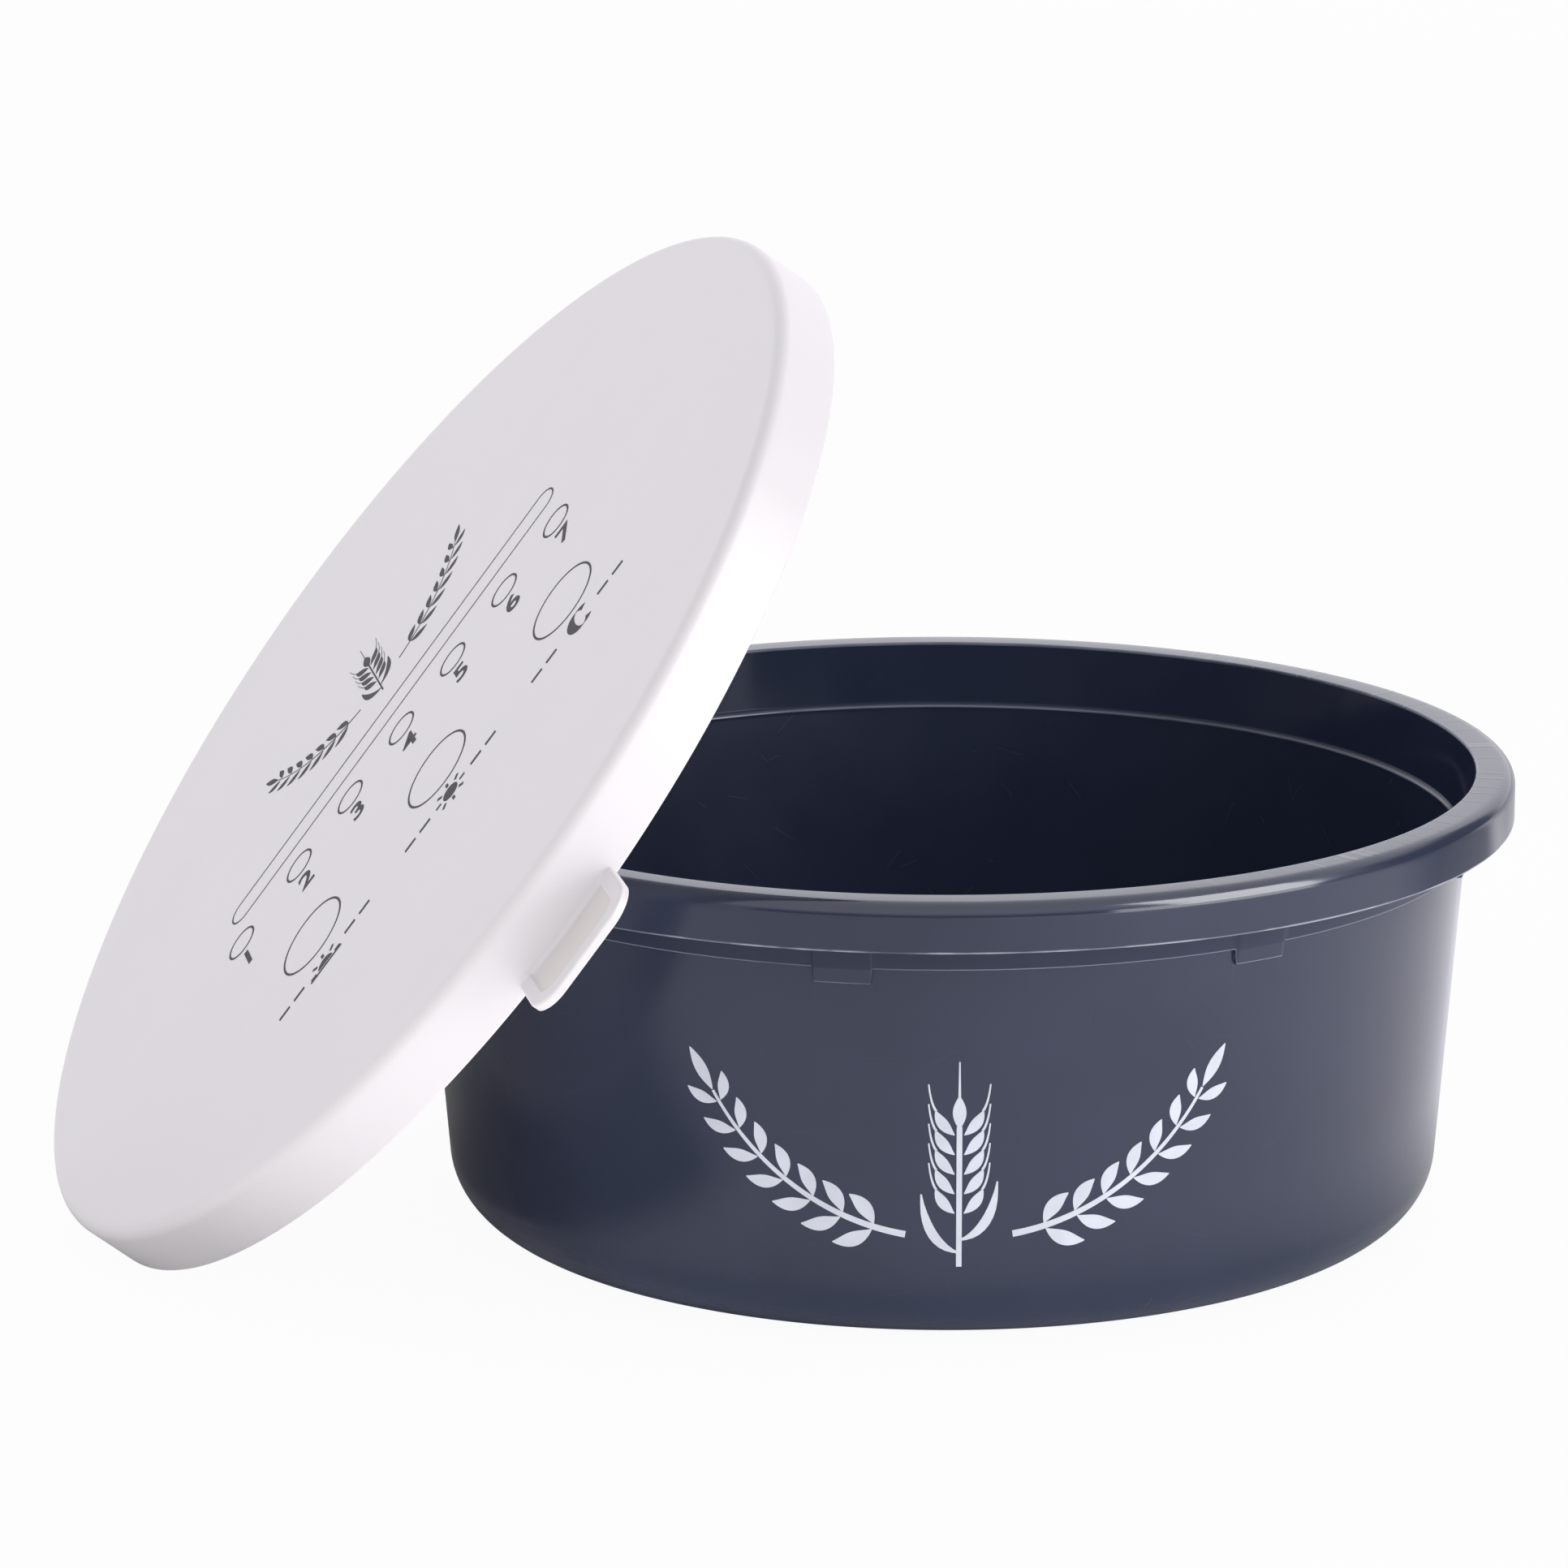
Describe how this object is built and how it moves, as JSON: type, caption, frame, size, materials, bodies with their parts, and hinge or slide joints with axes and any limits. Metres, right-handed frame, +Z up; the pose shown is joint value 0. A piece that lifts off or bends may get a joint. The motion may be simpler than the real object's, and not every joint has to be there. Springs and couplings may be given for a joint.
{
  "type": "feed bowl",
  "caption": "Round moulded plastic feed bowl with a turned-down rim, and its soft push-fit lid with a pull tab leaning on the rim.",
  "frame": {"origin": "centre of the bowl's flat underside", "axes": "+Z up along the bowl's axis, -Y towards the front where the mark is printed, +X to the right of someone facing the front; the lid leans at -X"},
  "size_m": [0.3873, 0.3376, 0.2552],
  "materials": {
    "bowl_navy": "gloss navy moulded plastic, lightly scuffed",
    "lid_white": "satin white soft moulded plastic"
  },
  "bodies": {
    "bowl_body": {"bowl": "bowl_navy"},
    "lid_body": {"lid": "lid_white"}
  },
  "joints": [
    {"name": "lid_lift", "type": "slide", "parent": "bowl_body", "child": "lid_body", "axis": [0, 0, 1], "range_m": [0, 0.15]}
  ]
}
